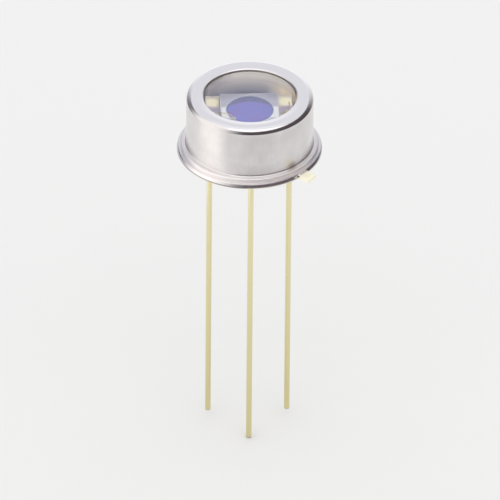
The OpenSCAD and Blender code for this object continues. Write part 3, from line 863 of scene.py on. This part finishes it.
# %% Gold wire
wire_gold, tree, place = open_finish("bonding_gold")
cloud = add(tree, "TexNoise", {"Vector": place, "Scale": 20.0, "Detail": 2.0})
tone = add(tree, "Mix", {0: cloud, 6: linear("#F0D68A"), 7: linear("#E3C474")}, **COLOUR)
gloss = add(tree, "MapRange", {0: cloud, 3: 0.1, 4: 0.2})
close_finish(wire_gold, {"Base Color": tone, "Metallic": 1.0, "Roughness": gloss})

# %% Put the finishes on
wearing = {
    "cap_shell": nickel, "header_plate": gold, "window_disc": glass, "window_seal_ring": solder_glass,
    "wire_lead_anode": lead_gold, "wire_lead_cathode": lead_gold, "wire_lead_case": lead_gold,
    "glass_bead_anode": bead_glass, "glass_bead_cathode": bead_glass, "braze_collar": braze_alloy,
    "carrier_bond": silver_glue, "die_attach": silver_glue, "ceramic_carrier": alumina,
    "carrier_pad": gold_film, "photodiode_chip": silicon, "chip_electrode": aluminium,
    "active_area": violet, "gold_wire_anode": wire_gold, "gold_wire_cathode": wire_gold,
}
for piece_name, material in wearing.items():
    mesh = bpy.data.objects[piece_name].data
    mesh.materials.clear()
    mesh.materials.append(material)
print(len(wearing), "pieces have their finish")

# %% [markdown]
# ## Floor and light
# The part stands on its leads on pale paper, under a white sky that is brighter overhead, high in
# front and low behind, as a lamp, a window and a pale wall would make it.
# Polished metal shows its surroundings, and under an even sky alone it looks like grey paint. So a
# photographer puts cards round it: here a dark one in front and to the right, which draws the dark
# lines in every bend, a grey one behind on the left, and a bright one on the left, which lightens
# that side of the barrel. A fourth card shines through the glass on matt surfaces only: it lights
# the deep can behind the window, which stays too dark under a sky that suits the outside. No card
# shows to the camera or throws a shadow. The floor is open from below, for a look at the underside,
# and the far backdrop has the floor's tone.

# %% Floor
FLOOR_R = 85.0
FLOOR_MIDDLE = 5.0
FLOOR_TURNS = 96
floor_z = cad_box[0][2] / MM
floor_outline = np.array([[0.0, floor_z], [FLOOR_MIDDLE, floor_z], [FLOOR_R, floor_z]])
floor = lathe("floor", floor_outline, turns=FLOOR_TURNS)
if floor.data.polygons[0].normal.z < 0:
    floor.data.flip_normals()
paper, tree, place = open_finish("matt_paper")
matt = add(tree, "BsdfDiffuse", {"Color": linear("#E4E4E4")})
from_below = add(tree, "NewGeometry", out="Backfacing")
shown = add(tree, "MixShader", {0: from_below, 1: matt, 2: add(tree, "BsdfTransparent")})
add(tree, "OutputMaterial", {"Surface": shown})
floor.data.materials.append(paper)

# %% Helpers for cards
CARD_COLUMNS = 48
CARD_ROWS = 8


def card(name, radius, bearings, heights):
    """Upright card on a circle: x = R sin b, y = -R cos b, from one bearing in degrees to another."""
    bearing = np.radians(np.linspace(*bearings, CARD_COLUMNS + 1))
    height = np.linspace(*heights, CARD_ROWS + 1)[:, None]
    grid = np.broadcast_arrays(radius * np.sin(bearing), -radius * np.cos(bearing), height)
    obj = surface(name, np.stack(grid, axis=-1), wrap_columns=False)
    obj.visible_camera = False
    obj.visible_diffuse = False
    obj.visible_shadow = False
    return obj


def fading(tree, place, bearings, heights, fade, rise):
    """Mask of a card: one, fading to nothing over two angles at its sides and rise mm at top and foot."""
    x, y, z = add(tree, "SeparateXYZ", {0: place}).node.outputs
    minus_y = add(tree, "Math", {0: y, 1: -1.0}, operation="MULTIPLY")
    bearing = add(tree, "Math", {0: x, 1: minus_y}, operation="ARCTAN2")
    mask = 1.0
    sideways = (bearing, np.radians(bearings), np.radians(fade))
    upwards = (z, heights, (rise, rise))
    for value, (first, last), (fade_in, fade_out) in (sideways, upwards):
        opens = add(tree, "MapRange", {0: value, 1: first, 2: first + fade_in}, **SMOOTH)
        closes = add(tree, "MapRange", {0: value, 1: last - fade_out, 2: last, **FALLS}, **SMOOTH)
        both = add(tree, "Math", {0: opens, 1: closes}, operation="MULTIPLY")
        mask = add(tree, "Math", {0: both, 1: mask}, operation="MULTIPLY")
    return mask


# %% Cards that show in the metal
# each card's radius, bearings, heights, fading sideways and in height (mm, degrees), colour and power
cards = {
    "dark_card": (48.0, (-50, 168), (-20.6, 33.6), (42, 60), 3.0, "#5C5459", 0.0),
    "grey_card": (60.0, (-176, -96), (-19.0, 42.0), (46, 30), 4.0, "#8A868E", 0.0),
    "window_card": (44.0, (-150, 130), (0.0, 54.0), (30, 90), 5.0, "#FFFFFF", 11.0),
    "bright_card": (27.0, (-108, -36), (floor_z, 45.0), (26, 26), 0.5, "#FFFCFA", 1.24),
}
for card_name, (card_r, bearings, heights, fade, rise, colour, power) in cards.items():
    screen = card(card_name, card_r, bearings, heights)
    screen.visible_glossy = card_name != "window_card"
    material, tree, place = open_finish(card_name.replace("card", "card_face"))
    mask = fading(tree, place, bearings, heights, fade, rise)
    if card_name == "window_card":
        scattered = add(tree, "LightPath", out="Diffuse Depth")
        mask = add(tree, "Math", {0: mask, 1: scattered}, operation="MULTIPLY", use_clamp=True)
    if power:
        face = add(tree, "Emission", {"Color": linear(colour), "Strength": power})
    else:
        face = add(tree, "BsdfDiffuse", {"Color": linear(colour)})
    clear = add(tree, "BsdfTransparent")
    shown = add(tree, "MixShader", {0: mask, 1: clear, 2: face})
    add(tree, "OutputMaterial", {"Surface": shown})
    screen.data.materials.append(material)

# %% Sky
SKY = 0.98
OVERHEAD = 0.15
BEHIND = 0.25
AHEAD = 0.55
BACKDROP = 0.88
world = bpy.data.worlds.new("studio")
bpy.context.scene.world = world
world.use_nodes = True
tree = world.node_tree
tree.nodes.clear()
# a direction's Z is 1 straight up, and its Y is 1 straight behind the part
way = add(tree, "TexCoord", out="Generated")
height = add(tree, "SeparateXYZ", {0: way}, out="Z")
depth = add(tree, "SeparateXYZ", {0: way}, out="Y")
overhead = add(tree, "MapRange", {0: height, 1: 0.8, 2: 0.92, 3: SKY, 4: SKY + OVERHEAD})
low = add(tree, "MapRange", {0: height, 1: 0.3, 2: 0.5, 3: BEHIND, 4: 0.0})
behind = add(tree, "MapRange", {0: depth, 1: 0.3, 2: 0.7})
strength = add(tree, "Math", {0: low, 1: behind, 2: overhead}, operation="MULTIPLY_ADD")
upper = add(tree, "MapRange", {0: height, 1: 0.5, 2: 0.62, 3: 0.0, 4: AHEAD})
ahead = add(tree, "MapRange", {0: depth, 1: -0.4, 2: -0.15, **FALLS})
strength = add(tree, "Math", {0: upper, 1: ahead, 2: strength}, operation="MULTIPLY_ADD")
light = add(tree, "Background", {"Color": linear("#FFFFFF"), "Strength": strength})
backdrop = add(tree, "Background", {"Color": linear("#FFFFFF"), "Strength": BACKDROP})
seen = add(tree, "LightPath", out="Is Camera Ray")
shown = add(tree, "MixShader", {0: seen, 1: light, 2: backdrop})
add(tree, "OutputWorld", {"Surface": shown})
print("sky", SKY, "overhead", SKY + OVERHEAD, "low behind", SKY + BEHIND, "high in front", SKY + AHEAD)
